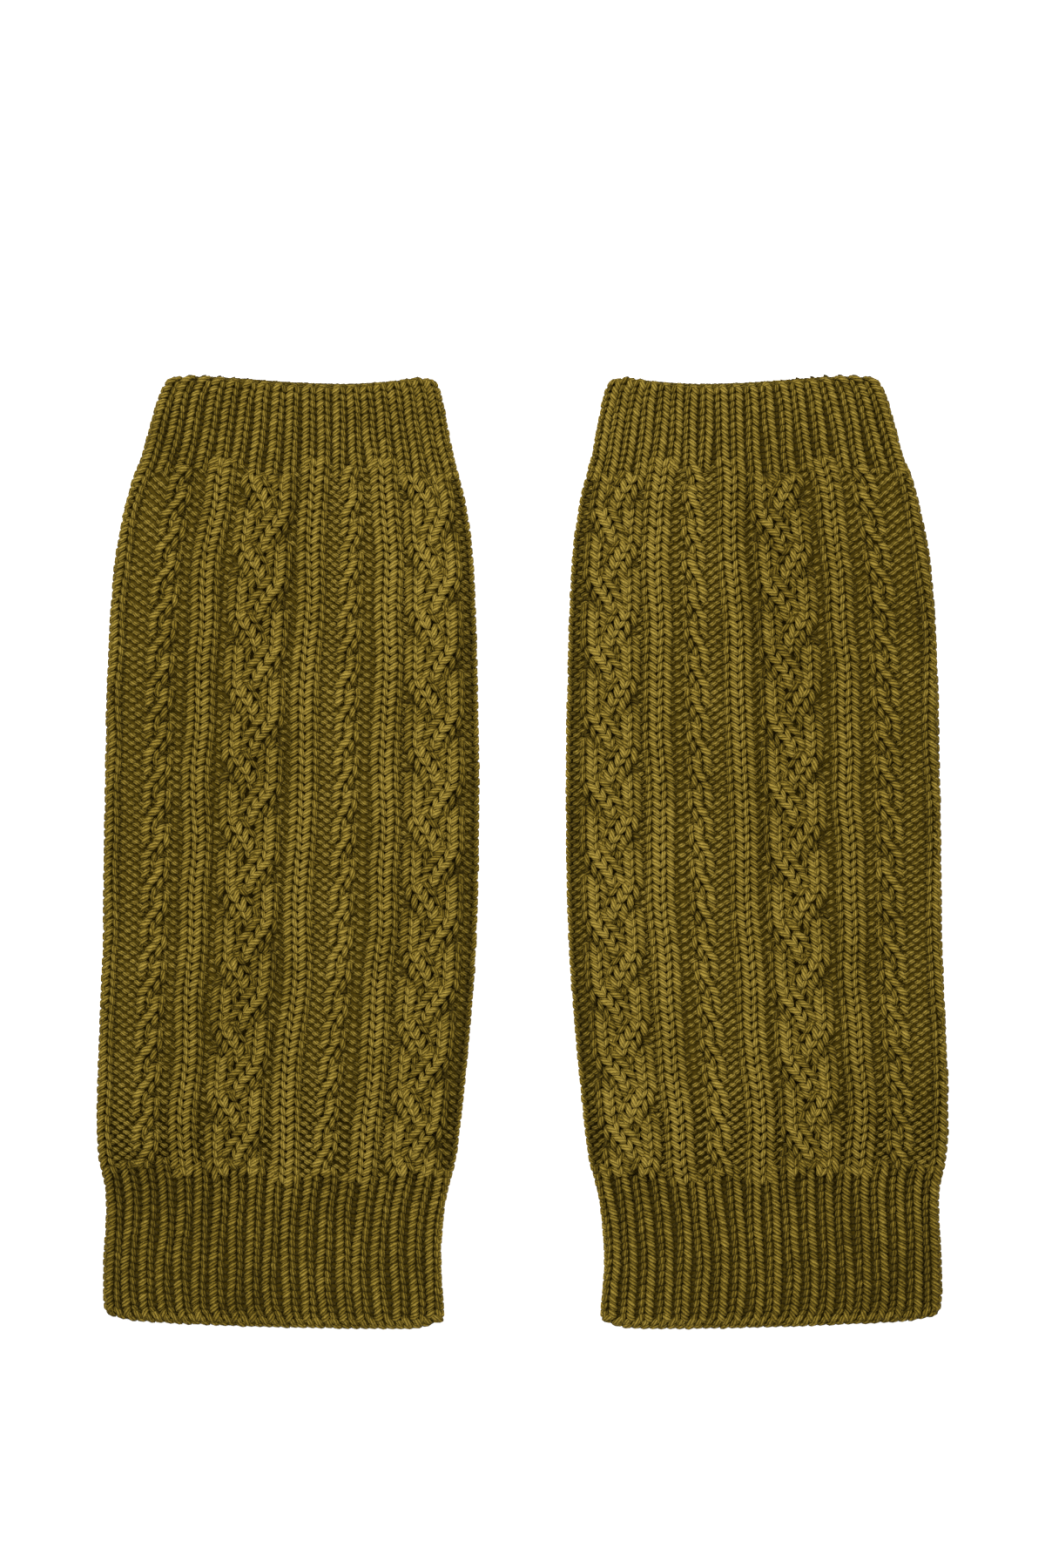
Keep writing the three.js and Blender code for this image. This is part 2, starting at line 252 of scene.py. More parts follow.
# A yarn length's rings. along: 0 at its lower tip, 1 at its upper one. size: share of its full girth.
LEG_RINGS = [
    {"along": 0, "size": 0},
    {"along": 0.1, "size": 0.78},
    {"along": 0.36, "size": 1},
    {"along": 0.66, "size": 0.97},
    {"along": 0.9, "size": 0.62},
    {"along": 1, "size": 0},
]
BACK_LEG_RINGS = [
    {"along": 0, "size": 0},
    {"along": 0.25, "size": 0.95},
    {"along": 0.75, "size": 0.9},
    {"along": 1, "size": 0},
]
BUMP_RINGS = [
    {"along": 0, "size": 0},
    {"along": 0.16, "size": 0.8},
    {"along": 0.5, "size": 1},
    {"along": 0.84, "size": 0.8},
    {"along": 1, "size": 0},
]
BLUNT_RINGS = [
    {"along": 0, "size": 0},
    {"along": 0.06, "size": 0.75},
    {"along": 0.3, "size": 1},
    {"along": 0.7, "size": 1},
    {"along": 0.94, "size": 0.75},
    {"along": 1, "size": 0},
]
BACK_BUMP_RINGS = [
    {"along": 0, "size": 0},
    {"along": 0.3, "size": 1},
    {"along": 0.7, "size": 1},
    {"along": 1, "size": 0},
]

# The rows of yarn that finish the open ends. level: over the middle plane. in: distance from the edge.
# from, to and pitch: along the edge. slope, size and arch: as bump_run takes them. shade: its
# painted shade, as a depth under the crest.
EDGE_ROWS = [
    {"end": "foot", "layer": 1, "level": 2.4, "in": 2.7, "from": 2.0, "to": 133, "pitch": 3.6,
     "slope": -0.8, "size": 1.15, "arch": 0, "shade": 0.5},
    {"end": "foot", "layer": 1, "level": 1.4, "in": 0.7, "from": 2.0, "to": 134, "pitch": 3.64,
     "slope": -0.2, "size": 1.15, "arch": -0.3, "shade": 0.7},
    {"end": "foot", "layer": -1, "level": 1.2, "in": 0.9, "from": 2.0, "to": 133, "pitch": 3.4,
     "slope": -0.25, "size": 0.95, "arch": -0.4, "shade": 0.9},
    {"end": "top", "layer": 1, "level": 2.5, "in": 0.4, "from": 3.55, "to": 134, "pitch": 7.105,
     "slope": 0.1, "size": 0.85, "arch": 0.7, "shade": 0.3},
    {"end": "top", "layer": 1, "level": 1.0, "in": 1.0, "from": 7.1, "to": 130, "pitch": 7.105,
     "slope": 0.0, "size": 0.7, "arch": -0.2, "shade": 1.2},
    {"end": "top", "layer": -1, "level": 1.1, "in": 1.4, "from": 4.0, "to": 131, "pitch": 3.0,
     "slope": 0.0, "size": 0.95, "arch": 0.4, "shade": 0.3},
    {"end": "top", "layer": -1, "level": -0.1, "in": 1.5, "from": 5.5, "to": 130, "pitch": 3.0,
     "slope": -0.15, "size": 0.95, "arch": 0.3, "shade": 0.0},
    {"end": "top", "layer": -1, "level": 0.1, "in": 2.9, "from": 4.0, "to": 130, "pitch": 3.0,
     "slope": -0.15, "size": 0.95, "arch": -0.3, "shade": 0.0},
]

# The corners round a yarn length, in degrees from its side, more of them on its outer face
FRONT_CORNERS = (-42, 14, 64, 116, 166, 222)
GROUND_CORNERS = (-30, 30, 90, 150, 210)
BACK_CORNERS = (-40, 45, 135, 220)

# A purl stitch's bump: half its length, half its width and depth, its slope to the right, how far it
# bends and how far its ends sink, and the distance between columns, BACK_PITCH times that on the back
PURL = {"half": 1.75, "wide": 1.06, "high": 1.0, "slope": -0.22, "arch": 0.25, "sink": 1.0,
        "pitch": 2.6}
BACK_PITCH = 1.3

# How far the purl columns reach under a raised column, and how far they stay off the side folds. The
# two widths turn millimetres across the body and the open ends into shares.
PURL_LAP = {"edge": 0.2, "rib": 0.2, "rope": 2.6, "braid": 2.4}
FOLD_GAP = 2.2
BODY_WIDTH = 150.0
ENDS_WIDTH = 135.0

# How unevenly the yarn lies: the spread of each measure of a leg and of a bump
LEG_SPREAD = {"length": 0.04, "along": 0.1, "swing": 0.07, "offset": 0.08, "height": 0.08, "girth": 0.05}
BUMP_SPREAD = {"tilt": 0.07, "along": 0.12, "length": 0.06, "across": 0.1, "height": 0.08, "girth": 0.05}

# The thin tube under the stitches: how far its outer and its inner face lie from the middle plane and
# from the side folds, how far it stops from the open ends, and how its points gather and round off at
# the folds
SHELL_FACES = ({"front": 1.5, "back": 0.95, "inset": 2.2}, {"front": 0.4, "back": 0.3, "inset": 3.4})
SHELL_ROWS = 50
SHELL_CORNERS = 60
SHELL_END = 1.2
SHELL_GATHER = 0.7
SHELL_ROUND = 3.0
SHELL_RIM = 0.15


def reader(rows, key):
    """read(column, at) gives a table's column between its rows, with soft slopes through them."""
    keys = np.array([row[key] for row in rows], float)

    def read(column, at):
        values = np.array([row[column] for row in rows], float)
        slopes = np.gradient(values, keys, edge_order=1)
        slopes[1:-1] = (values[2:] - values[:-2]) / (keys[2:] - keys[:-2])
        at = np.clip(at, keys[0], keys[-1])
        low = np.clip(np.searchsorted(keys, at) - 1, 0, len(keys) - 2)
        span = keys[low + 1] - keys[low]
        t = (at - keys[low]) / span
        start, end = values[low], values[low + 1]
        level = start + (end - start) * t * t * (3 - 2 * t)
        bend = (t**3 - 2 * t**2 + t) * slopes[low] + (t**3 - t**2) * slopes[low + 1]
        return level + bend * span

    return read


outline_at = reader(OUTLINE, "along")
end_at = reader(ENDS, "across")
seam_at = reader(SEAMS, "across")


def smoothstep(t):
    t = np.clip(t, 0, 1)
    return t * t * (3 - 2 * t)


def round_over(distance, reach):
    """Quarter of an ellipse: 0 on the rim, 1 from the reach inwards."""
    left = 1 - np.clip(distance / reach, 0, 1)
    return np.sqrt(1 - left * left)


def unit(vectors):
    return vectors / np.linalg.norm(vectors, axis=-1, keepdims=True)


def width_at(along):
    return outline_at("outer", along) - outline_at("inner", along)


def surface(across, along, level, layer):
    """Points of the left leg warmer, in millimetres, at a level over its middle plane. layer is 1 on
    the front and -1 on the back."""
    outer, inner = outline_at("outer", along), outline_at("inner", along)
    spread = across + outline_at("drift", along) * np.sin(math.pi * across)
    from_side = np.minimum(spread, 1 - spread) * (outer - inner)
    inset = SIDE_INSET * np.exp(-np.clip(from_side, 0, None) / SIDE_ROUND)
    x = -(outer - spread * (outer - inner)) + np.where(spread < 0.5, inset, -inset)
    rounded = round_over(from_side, SIDE_ROUND)
    baggy = BAGGY_FOLD["rise"] * np.exp(-(((along - BAGGY_FOLD["along"]) / BAGGY_FOLD["reach"]) ** 2))
    rise = baggy if layer > 0 else 0
    z = MIDDLE + layer * (level + rise) * rounded
    return np.stack(np.broadcast_arrays(x, along - LENGTH / 2, z), axis=-1)


def carrier(across, level, layer, painted_shading=None):
    """The line that a column's stitches follow. across, level and the painted shade are functions of
    the height above the foot. It returns points, directions along the line and out of the cloth, and
    the painted shade along it."""

    def at(along):
        further = along + STEP_ALONG
        here = surface(across(along), along, level(along), layer)
        ahead = surface(across(further), further, level(further), layer)
        direction = unit(ahead - here)
        beside = surface(across(along) + STEP_ALONG / 100, along, level(along), layer) - here
        up = surface(across(along), further, level(along), layer) - here
        outward = unit(np.cross(beside, up)) * layer
        return here, direction, outward, painted_shading(along) if painted_shading else 0 * along

    return at


def fold_carrier(side):
    """The line along a side fold. side is 0 at the outer fold and 1 at the inner one."""

    def at(along):
        here = surface(np.full_like(along, side), along, 0.0, 1)
        ahead = surface(np.full_like(along, side), along + STEP_ALONG, 0.0, 1)
        outward = np.zeros_like(here)
        outward[..., 0] = -1 if side == 0 else 1
        return here, unit(ahead - here), outward, 0 * along

    return at


def wobble(rng, size):
    """A column's slow sideways waver along its length."""
    waves = [
        (size * rng.uniform(*WAVES["size"]), rng.uniform(*WAVES["length"]), rng.uniform(*WAVES["start"]))
        for _ in range(WAVES["count"])
    ]
    return lambda along: sum(a * np.sin(2 * math.pi * along / span + turn) for a, span, turn in waves)


def ring_places(rings):
    """The places and sizes of a table's rings, each as a row."""
    along = np.array([ring["along"] for ring in rings], float)
    size = np.array([ring["size"] for ring in rings], float)
    return along[None, :], size[None, :]


def uneven(rng, spread, count):
    """Random shares or distances around 0, one for each yarn length."""
    return rng.normal(0, spread, (count, 1))


def leg_run(line, starts, row, leg, rng, rings, crown, shift=0.0, scale=1.0, reach=1.0, lean=1.0,
            follow=1.0):
    """Legs of knit stitches along a line, one for each start. crown is half the width of the raised
    form, how far its rims drop and their painted shade. shift is how far beside the line they lie.
    scale, reach and lean scale a leg's size, length and slant. follow is how far it bends along with
    the line: 1 all the way, 0 not at all."""
    count = len(starts)
    t, girth = ring_places(rings)
    length = reach * leg["reach"] * row * (1 + uneven(rng, LEG_SPREAD["length"], count))
    climb = (t - 0.5) * 2 * length
    along = starts[:, None] + uneven(rng, LEG_SPREAD["along"], count) + follow * climb
    here, direction, outward, painted_shading = line(along)
    here = here + np.array([0, 1, 0]) * ((1 - follow) * climb)[..., None]
    upright = unit(direction * follow + np.array([0, 1 - follow, 0]))
    sideways = unit(np.cross(upright, outward))
    middle = (leg["foot"] + leg["head"]) / 2
    swing = lean * (leg["head"] - leg["foot"]) * (1 + uneven(rng, LEG_SPREAD["swing"], count))
    offset = shift + scale * (middle + swing * (t - 0.5)) + uneven(rng, LEG_SPREAD["offset"], count)
    dip = (2 * t - 2 * LEG_CREST) ** 2
    sink = np.where(t < LEG_CREST, leg["foot_sink"], leg["head_sink"]) * dip
    half, drop, rim_painted_shade = crown
    rim = np.clip(offset / half, -RIM_LIMIT, RIM_LIMIT) ** 2
    sink = sink + drop * rim
    height = leg["rise"] + uneven(rng, LEG_SPREAD["height"], count) - sink
    points = here + sideways * offset[..., None] + outward * height[..., None]
    size = scale * (1 + uneven(rng, LEG_SPREAD["girth"], count)) * girth
    return {
        "points": points,
        "normals": outward,
        "wide": leg["wide"] * size,
        "high": leg["high"] * size,
        # under: painted shade by depth under the crest, from roundness, sunk ends, the line and the rims
        "under": SELF_SHADE * leg["high"] + sink + painted_shading + rim_painted_shade * rim,
        "shade": rng.normal(0, 1, count),
    }


def knit_column(line, starts, row, rng, rings, follow=(1.0, 1.0), **options):
    """Both legs of each stitch in a column."""
    legs = zip((FAT_LEG, THIN_LEG), follow)
    return [leg_run(line, starts, row, leg, rng, rings, follow=f, **options) for leg, f in legs]


def bump_run(line, starts, rng, rings, size=1.0, slope=PURL["slope"], arch=PURL["arch"]):
    """Bumps of purl stitches along a line, one for each start, each lying nearly across it. slope is
    its rise to the right, and arch how far its ends bend down."""
    count = len(starts)
    t, girth = ring_places(rings)
    t = 2 * t - 1
    tilt = slope + uneven(rng, BUMP_SPREAD["tilt"], count)
    middle = starts[:, None] + uneven(rng, BUMP_SPREAD["along"], count)
    here, direction, outward, painted_shading = line(np.repeat(middle, t.shape[1], axis=1))
    sideways = np.cross(direction, outward)
    half = PURL["half"] * size * (1 + uneven(rng, BUMP_SPREAD["length"], count))
    across = half * t + uneven(rng, BUMP_SPREAD["across"], count)
    upward = half * t * tilt - arch * t**2
    sink = PURL["sink"] * t**2
    height = uneven(rng, BUMP_SPREAD["height"], count) - sink
    points = here + sideways * across[..., None] + direction * upward[..., None]
    points = points + outward * height[..., None]
    girth = girth * size * (1 + uneven(rng, BUMP_SPREAD["girth"], count))
    return {
        "points": points,
        "normals": outward,
        "wide": PURL["wide"] * girth,
        "high": PURL["high"] * girth,
        # under: painted shade by depth under the crest, from roundness, sunk ends and the line
        "under": SELF_SHADE * PURL["high"] * size + sink + painted_shading,
        "shade": rng.normal(0, 1, count),
    }


def plait_swing(strand):
    """A plait strand's place, from -1 to 1, and its lift, by turns counted from the top down."""
    apart = len(PLAIT_MOVES) / PLAIT_STRANDS
    starts = np.array([move["from"] for move in PLAIT_MOVES], float)
    ends = np.array([move["to"] for move in PLAIT_MOVES], float)
    lift_at = reader(PLAIT_LIFTS, "turn")

    def at(turns):
        step = np.mod(turns + strand * apart, len(PLAIT_MOVES))
        move = np.floor(step).astype(int)
        part = step - move
        place = starts[move] + (ends[move] - starts[move]) * smoothstep(part)
        return place, lift_at("lift", np.mod(step, PLAIT_STRANDS))

    return at


def rope_swing(strand):
    """A rope strand's place, from -1 to 1, and its lift, by turns counted from the foot up."""

    def at(turns):
        angle = math.pi * (turns + strand)
        return np.clip(-ROPE_FLATTEN * np.cos(angle), -1, 1), np.sin(angle)

    return at


def cable_columns(column, layer, levels, flatten):
    """Each column of stitches in a rope or plait: its strand's line, how far it lies to the side of
    that line, and where it shows between the strands that cross over it."""
    kind = column["kind"]
    cable = CABLES[kind]
    middle = (column["from"] + column["to"]) / 2
    share = column["to"] - column["from"]
    half = cable["half"]

    def strand(swing, along):
        """A strand's place in millimetres from the cable's middle, and its lift from -1 to 1."""
        turns = (along - column["turned"]) / TURN
        place, raised = swing(turns if kind == "rope" else -turns)
        return place * (share * width_at(along) / 2 - half), raised

    def height(raised):
        return flatten * np.where(raised > 0, cable["over"], cable["under"]) * raised

    def crest(swing, along, at):
        """The height of a strand's rounded top, a distance from the cable's middle."""
        place, raised = strand(swing, along)
        away = np.abs(at - place) / half
        dome = DOME * np.sqrt(np.clip(1 - away * away, 0, None))
        return height(raised) + dome - DOME_EDGE * np.clip(away - 1, 0, None)

    swings = [rope_swing(i) for i in range(ROPE_STRANDS)]
    if kind == "braid":
        swings = [plait_swing(i) for i in range(PLAIT_STRANDS)]
    columns = []
    for swing in swings:
        others = [other for other in swings if other is not swing]

        def across(along, swing=swing):
            return middle + strand(swing, along)[0] / width_at(along)

        def level(along, swing=swing):
            return levels[kind] + height(strand(swing, along)[1])

        for shift in cable["columns"]:

            def cover(along, swing=swing, others=others, shift=shift):
                at = strand(swing, along)[0] + shift
                above = np.max([crest(other, along, at) for other in others], axis=0)
                return above - crest(swing, along, at)

            # Painted shade near other strands and on a strand going under, painted light on one on top
            def painted_shading(along, swing=swing, cover=cover):
                raised = strand(swing, along)[1]
                near = np.clip(cover(along) + cable["near"], 0, 2)
                shade = COVER_SHADE * near**COVER_POWER - cable["light"] * np.clip(raised, 0, 1)
                return shade + cable["dark"] * np.clip(-raised, 0, 1)

            def shows(along, cover=cover):
                return cover(along) < HIDDEN

            columns.append((carrier(across, level, layer, painted_shading), shift, shows))
    return columns


def row_starts(low, high, row):
    """The middles of the rows that fill a stretch."""
    count = int(round((high - low) / row))
    return low + (np.arange(count) + 0.5) * (high - low) / count


BODY = (LOWER_CUFF, LENGTH - UPPER_CUFF)


def body_ends(across):
    """The heights of the body's two seams."""
    return BODY[0] + seam_at("lower", across), BODY[1] + seam_at("upper", across)


def body_rows(across, shift=0.0):
    """The heights of the body's rows at a place across, where the rows of all columns line up."""
    low, high = body_ends(across)
    rows = (np.arange(int(LENGTH / BODY_ROW)) + 0.5 + shift) * BODY_ROW
    return rows[(rows > low - SEAM_LAP) & (rows < high + SEAM_LAP)]


def body_columns(layer):
    """The raised columns, in the same order on the back as seen from behind."""
    if layer > 0:
        return COLUMNS
    return [{**c, "from": 1 - c["to"], "to": 1 - c["from"]} for c in reversed(COLUMNS)]


def body_knit(layer, rng, rings):
    """The body's knit stitches: its ribs, its edge columns and the strands of its cables."""
    levels = FRONT_LEVEL if layer > 0 else BACK_LEVEL
    flatten = 1.0 if layer > 0 else BACK_FLATTEN
    ribs, cables = [], []
    for column in body_columns(layer):
        middle = (column["from"] + column["to"]) / 2
        starts = body_rows(middle)
        level = levels[column["kind"]]
        waver = wobble(rng, BODY_WAVER)
        if column["kind"] in CABLES:
            for line, shift, shows in cable_columns(column, layer, levels, flatten):
                cables += knit_column(line, starts[shows(starts)], BODY_ROW, rng, rings, shift=shift,
                                      **CABLES[column["kind"]]["stitch"])
            continue
        line = carrier(lambda a, m=middle, w=waver: m + w(a), lambda a, v=level: v + 0 * a, layer)
        if column["kind"] == "edge":
            ribs += knit_column(line, starts, BODY_ROW, rng, rings, crown=EDGE_CROWN)
            continue
        for side in (-1, 1):
            ribs += knit_column(line, starts, BODY_ROW, rng, rings, shift=side * RIB_COLUMN / 2,
                                **RIB_STITCH)
    return ribs, cables


def body_purl(layer, rng, rings):
    """The purl grounds between the raised columns, reaching a little under them."""
    levels = FRONT_LEVEL if layer > 0 else BACK_LEVEL
    bounds = [(0.0, 0.0, "edge")] if layer < 0 else []
    bounds += [(c["from"], c["to"], c["kind"]) for c in body_columns(layer)]
    bounds += [(1.0, 1.0, "edge")] if layer > 0 else []
    pitch = PURL["pitch"] * (1 if layer > 0 else BACK_PITCH)
    runs = []
    for (_, low, before), (high, _, after) in zip(bounds, bounds[1:]):
        low_mm = low * BODY_WIDTH - PURL_LAP[before] + (FOLD_GAP if low == 0 else 0)
        high_mm = high * BODY_WIDTH + PURL_LAP[after] - (FOLD_GAP if high == 1 else 0)
        gaps = max(1, int(round((high_mm - low_mm) / pitch)))
        for i, across in enumerate(np.linspace(low_mm, high_mm, gaps + 1) / BODY_WIDTH):
            from_side = min(i, gaps - i)
            # Painted shade in the grooves beside a raised column and on the inner purl strip
            painted_groove_shade = GROOVE_SHADE[from_side] if from_side < len(GROOVE_SHADE) else PURL_SHADE
            painted_groove_shade += INNER_STRIP_SHADE if high == 1 and layer > 0 else 0
            line = carrier(lambda a, u=across: u + 0 * a, lambda a: levels["purl"] + 0 * a, layer,
                           lambda a, g=painted_groove_shade: g + 0 * a)
            arch = PURL["arch"] * (1 if i % 2 else -1)
            starts = body_rows(across, (i % 2) * 0.5)
            runs.append(bump_run(line, starts, rng, rings, arch=arch))
    return runs


def foot_edge(across):
    """The height of the lower edge."""
    return end_at("foot", across)


def top_edge(across, layer):
    """The height of the upper edge, on the front or the back."""
    edge = LENGTH - end_at("dip", across)
    return edge - FRONT_EXTRA_DIP * np.sin(math.pi * across) if layer > 0 else edge


def cuff_stitches(layer, rng, rings, bump_rings):
    """Both cuffs: single knit ribs with a purl valley between each two."""
    levels = FRONT_LEVEL if layer > 0 else BACK_LEVEL
    valley_level = levels["cuff"] - VALLEY_DROP[layer]
    ribs, valleys = [], []
    for cuff in CUFFS:
        row, upper = cuff["row"], cuff["upper"]
        for rib in range(CUFF_RIBS):
            across = (rib + 0.5) / CUFF_RIBS
            ragged = rng.uniform(*RAGGED_ROWS) * row
            seams = body_ends(across)
            if upper:
                low, high = seams[1] + ragged - row * 0.5, top_edge(across, layer) - RIB_ENDS["top"]
            else:
                low, high = foot_edge(across) + RIB_ENDS["foot"], seams[0] + ragged + row * 0.5
            waver = wobble(rng, CUFF_WAVER)
            # The ribs carry the cuff's painted shade
            line = carrier(lambda a, u=across, w=waver: u + w(a),
                           lambda a: levels["cuff"] + 0 * a, layer,
                           lambda a, s=cuff["shade"]: s + 0 * a)
            ribs += knit_column(line, row_starts(low, high, row), row, rng, rings, crown=CUFF_CROWN,
                                scale=cuff["scale"], lean=CUFF_LEAN)
        for valley in range(1, CUFF_RIBS):
            across = valley / CUFF_RIBS
            seams = body_ends(across)
            low = seams[1] if upper else foot_edge(across) + VALLEY_ENDS["foot"]
            high = top_edge(across, layer) - VALLEY_ENDS["top"] if upper else seams[0]
            seam = low if upper else high

            # Painted shade in the valleys, with painted shadow near the seam under the body's edge
            def painted_shading(along, seam=seam, cuff=cuff):
                return VALLEY_SHADE + cuff["seam"] * np.exp(-(((along - seam) / SEAM_REACH) ** 2))

            line = carrier(lambda a, u=across: u + 0 * a, lambda a: valley_level + 0 * a, layer, painted_shading)
            starts = row_starts(low, high, row)
            valleys.append(bump_run(line, starts, rng, bump_rings, size=VALLEY_BUMP))
    return ribs, valleys


def fold_stitches(rng, rings):
    """A knit column round each side fold, from the foot to the top."""
    runs = []
    for side in (0.0, 1.0):
        line = fold_carrier(side)
        stretches = (
            (foot_edge(side) + FOLD_ENDS["foot"], BODY[0], LOWER_ROW),
            (*BODY, BODY_ROW),
            (BODY[1], top_edge(side, 1) - FOLD_ENDS["top"], UPPER_ROW),
        )
        for low, high, row in stretches:
            runs += knit_column(line, row_starts(low, high, row), row, rng, rings, crown=FOLD_CROWN)
    return runs


def edge_line(edge, level, layer, inwards, shade):
    """The line along an open end, a distance in from its edge, by place across in millimetres. Its
    direction points into the cloth, so that bumps on it lie along the edge."""

    def at(distance):
        across = distance / ENDS_WIDTH
        here = surface(across, edge(across) + inwards, level, layer)
        further = across + STEP_ACROSS
        ahead = surface(further, edge(further) + inwards, level, layer)
        outward = np.zeros_like(here)
        outward[..., 2] = layer
        # Each point carries the row's painted shade
        return here, unit(np.cross(outward, ahead - here)), outward, 0 * distance + shade

    return at


def open_ends(rng):
    """The chain along the foot, the rounded upper ends, and the back's inner face behind them."""
    runs = []
    for row in EDGE_ROWS:
        layer = row["layer"]
        edge = foot_edge if row["end"] == "foot" else (lambda u, s=layer: top_edge(u, s))
        inwards = row["in"] if row["end"] == "foot" else -row["in"]
        starts = np.arange(row["from"], row["to"], row["pitch"])
        line = edge_line(edge, row["level"], layer, inwards, row["shade"])
        runs.append(bump_run(line, starts, rng, BLUNT_RINGS, slope=row["slope"], size=row["size"],
                             arch=row["arch"]))
    return runs


def skin(run, corners):
    """Closed tapered tubes along a run's lines: their vertices, and each one's painted shade, as a
    depth under the crest.
    """
    points, normals = run["points"], unit(run["normals"])
    count = len(points)
    along = unit(np.gradient(points, axis=1))
    across = unit(np.cross(along, normals))
    up = np.cross(across, along)
    angles = np.radians(corners)
    wide = run["wide"][:, 1:-1, None] * np.cos(angles)
    high = run["high"][:, 1:-1, None] * np.sin(angles)
    rings = points[:, 1:-1, None] + across[:, 1:-1, None] * wide[..., None]
    rings = rings + up[:, 1:-1, None] * high[..., None]
    # Painted shade by depth under the crest, less on the top of each yarn's round
    under = run["under"]
    rounded_painted_shade = (under[:, 1:-1, None] - SELF_SHADE * high).reshape(count, -1)
    verts = np.concatenate([points[:, :1], rings.reshape(count, -1, 3), points[:, -1:]], axis=1)
    painted_shades = np.concatenate([under[:, :1], rounded_painted_shade, under[:, -1:]], axis=1)
    return verts, painted_shades


def topology(steps, corners):
    """Faces of one closed tube, as corner lists, with each corner's place round and along it."""
    inner = steps - 2
    sides = len(corners)
    last = 1 + inner * sides
    around = [corner / 360 for corner in corners] + [corners[0] / 360 + 1]
    faces, places = [], []
    for s in range(sides):
        n = (s + 1) % sides
        left, right = around[s], around[s + 1]
        middle = (left + right) / 2
        faces.append((0, 1 + s, 1 + n))
        places.append(((middle, 0), (left, 1), (right, 1)))
        for j in range(inner - 1):
            a, b = 1 + j * sides + s, 1 + j * sides + n
            faces.append((a, a + sides, b + sides, b))
            places.append(((left, j + 1), (left, j + 2), (right, j + 2), (right, j + 1)))
        top = 1 + (inner - 1) * sides
        faces.append((last, top + n, top + s))
        places.append(((middle, steps - 1), (right, inner), (left, inner)))
    return faces, places


def wool_piece(name, mesh, material):
    """Puts a mesh into the scene as a piece of wool."""
    piece = bpy.data.objects.new(name, mesh)
    bpy.context.scene.collection.objects.link(piece)
    mesh.materials.append(material)
    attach(piece, "root")
    return piece


def yarn_mesh(name, runs, corners, material, mirrored):
    """One mesh of every tube in the runs, with a map of its yarn, and for each point its stitch's
    random tone and its painted shade, as a depth under the crest."""
    verts, loops, totals, maps, shades, painted_shades = [], [], [], [], [], []
    offset = 0
    for run in runs:
        count, steps, _ = run["points"].shape
        points, painted_shade = skin(run, corners)
        # Painted shade, darker towards the outer side
        outwards = (-points[..., 0] - OUTER_PAINTED_SHADE["middle"]) / OUTER_PAINTED_SHADE["half"]
        painted_shade = painted_shade + OUTER_PAINTED_SHADE["amount"] * outwards
        per = points.shape[1]
        faces, places = topology(steps, corners)
        if mirrored:
            faces = [tuple(reversed(face)) for face in faces]
            places = [tuple(reversed(place)) for place in places]
        corner = np.array([c for face in faces for c in face])
        place = np.array([spot for face in places for spot in face], float)
        step_lengths = np.linalg.norm(np.diff(run["points"], axis=1), axis=2)
        reached = np.concatenate([np.zeros((count, 1)), np.cumsum(step_lengths, axis=1)], axis=1)
        starts = offset + np.arange(count) * per
        verts.append(points.reshape(-1, 3))
        loops.append((starts[:, None] + corner[None, :]).ravel())
        totals.append(np.tile([len(face) for face in faces], count))
        down = reached[:, place[:, 1].astype(int)]
        around = np.broadcast_to(place[None, :, 0], down.shape)
        maps.append(np.stack([around, down * MAP_SCALE], axis=-1).reshape(-1, 2))
        shades.append(np.repeat(run["shade"], per))
        painted_shades.append(painted_shade.ravel())
        offset += count * per

    verts = np.concatenate(verts) * MM
    # The underside's yarn is pressed flat where it rests
    verts[:, 2] = np.maximum(verts[:, 2], 0)
    if mirrored:
        verts[:, 0] *= -1
    loops, totals = np.concatenate(loops), np.concatenate(totals)
    mesh = bpy.data.meshes.new(name)
    mesh.vertices.add(len(verts))
    mesh.vertices.foreach_set("co", verts.astype(np.float32).ravel())
    mesh.loops.add(len(loops))
    mesh.loops.foreach_set("vertex_index", loops.astype(np.int32))
    mesh.polygons.add(len(totals))
    firsts = np.concatenate([[0], np.cumsum(totals)[:-1]])
    mesh.polygons.foreach_set("loop_start", firsts.astype(np.int32))
    mesh.polygons.foreach_set("use_smooth", np.ones(len(totals), bool))
    layer = mesh.uv_layers.new(name="Yarn")
    mesh.update(calc_edges=True)
    layer.data.foreach_set("uv", np.concatenate(maps).astype(np.float32).ravel())
    for key, values in (("shade", shades), ("painted_shade", painted_shades)):
        attribute = mesh.attributes.new(key, "FLOAT", "POINT")
        attribute.data.foreach_set("value", np.concatenate(values).astype(np.float32))
    mesh.validate()
    return wool_piece(name, mesh, material)


